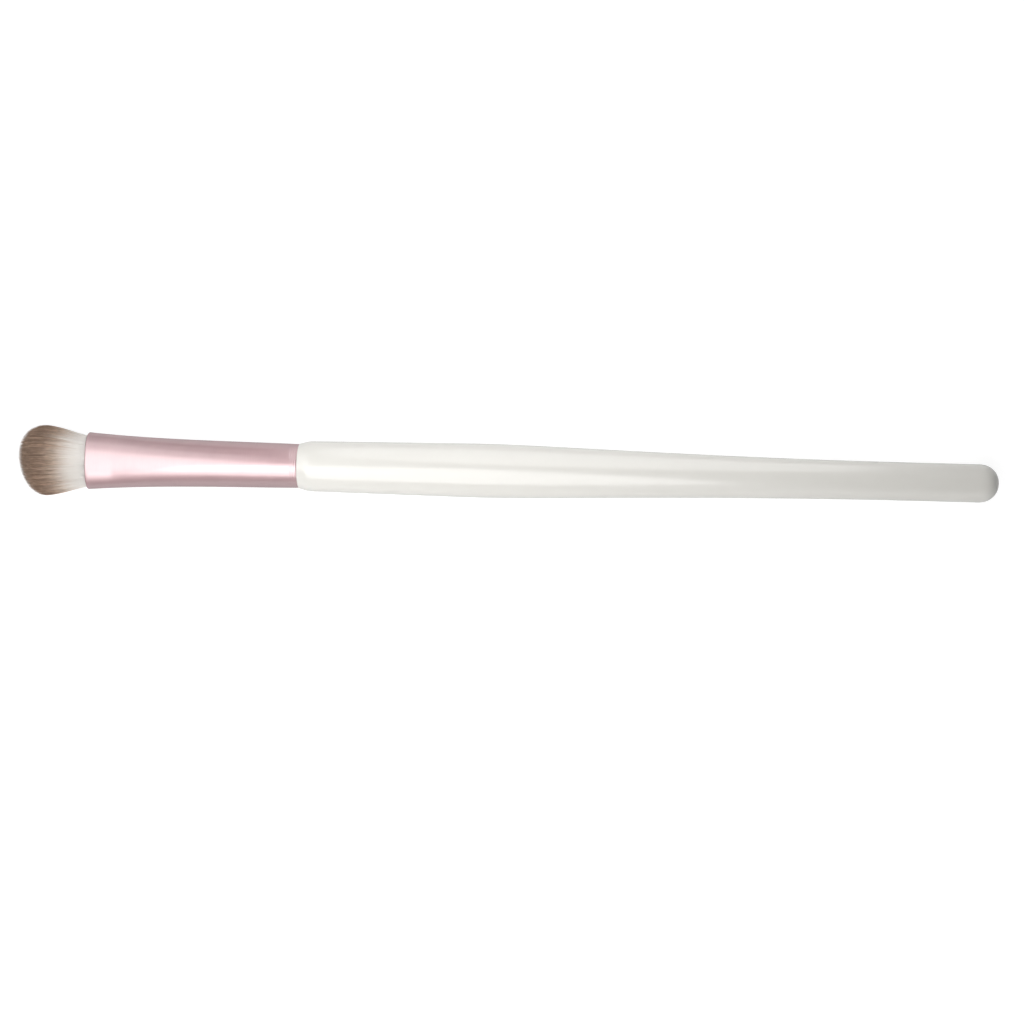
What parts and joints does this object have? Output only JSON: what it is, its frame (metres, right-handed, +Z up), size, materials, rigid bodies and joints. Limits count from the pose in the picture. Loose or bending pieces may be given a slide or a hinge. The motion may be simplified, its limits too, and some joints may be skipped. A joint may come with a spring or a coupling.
{
  "type": "eyeshadow brush",
  "caption": "Slim eyeshadow brush with a domed oval head of two-tone bristles, a pressed pink tube ferrule and a pearl-white turned handle.",
  "frame": {"origin": "centre of the bounding box at its bottom, under the middle of the brush's length, on the surface that the handle's belly lies on", "axes": "+X along the brush from the hair towards the butt of the handle, +Y across the broad side of the head, +Z up, across the thin side of the head"},
  "size_m": [0.17, 0.0119, 0.0094],
  "materials": {
    "handle": "turned wood under pearl-white gloss lacquer",
    "ferrule": "satin pink anodised, drawn and pressed tube",
    "hair": "fine tapered filaments, white at the root and brown at the tip",
    "thread": "waxed polyester thread",
    "hard_glue": "clear amber epoxy",
    "wood_glue": "cured wood adhesive"
  },
  "bodies": {
    "root": {"handle": "handle", "ferrule": "ferrule", "hair": "hair", "binding_thread": "thread", "glue_plug": "hard_glue", "handle_adhesive": "wood_glue"}
  },
  "joints": []
}
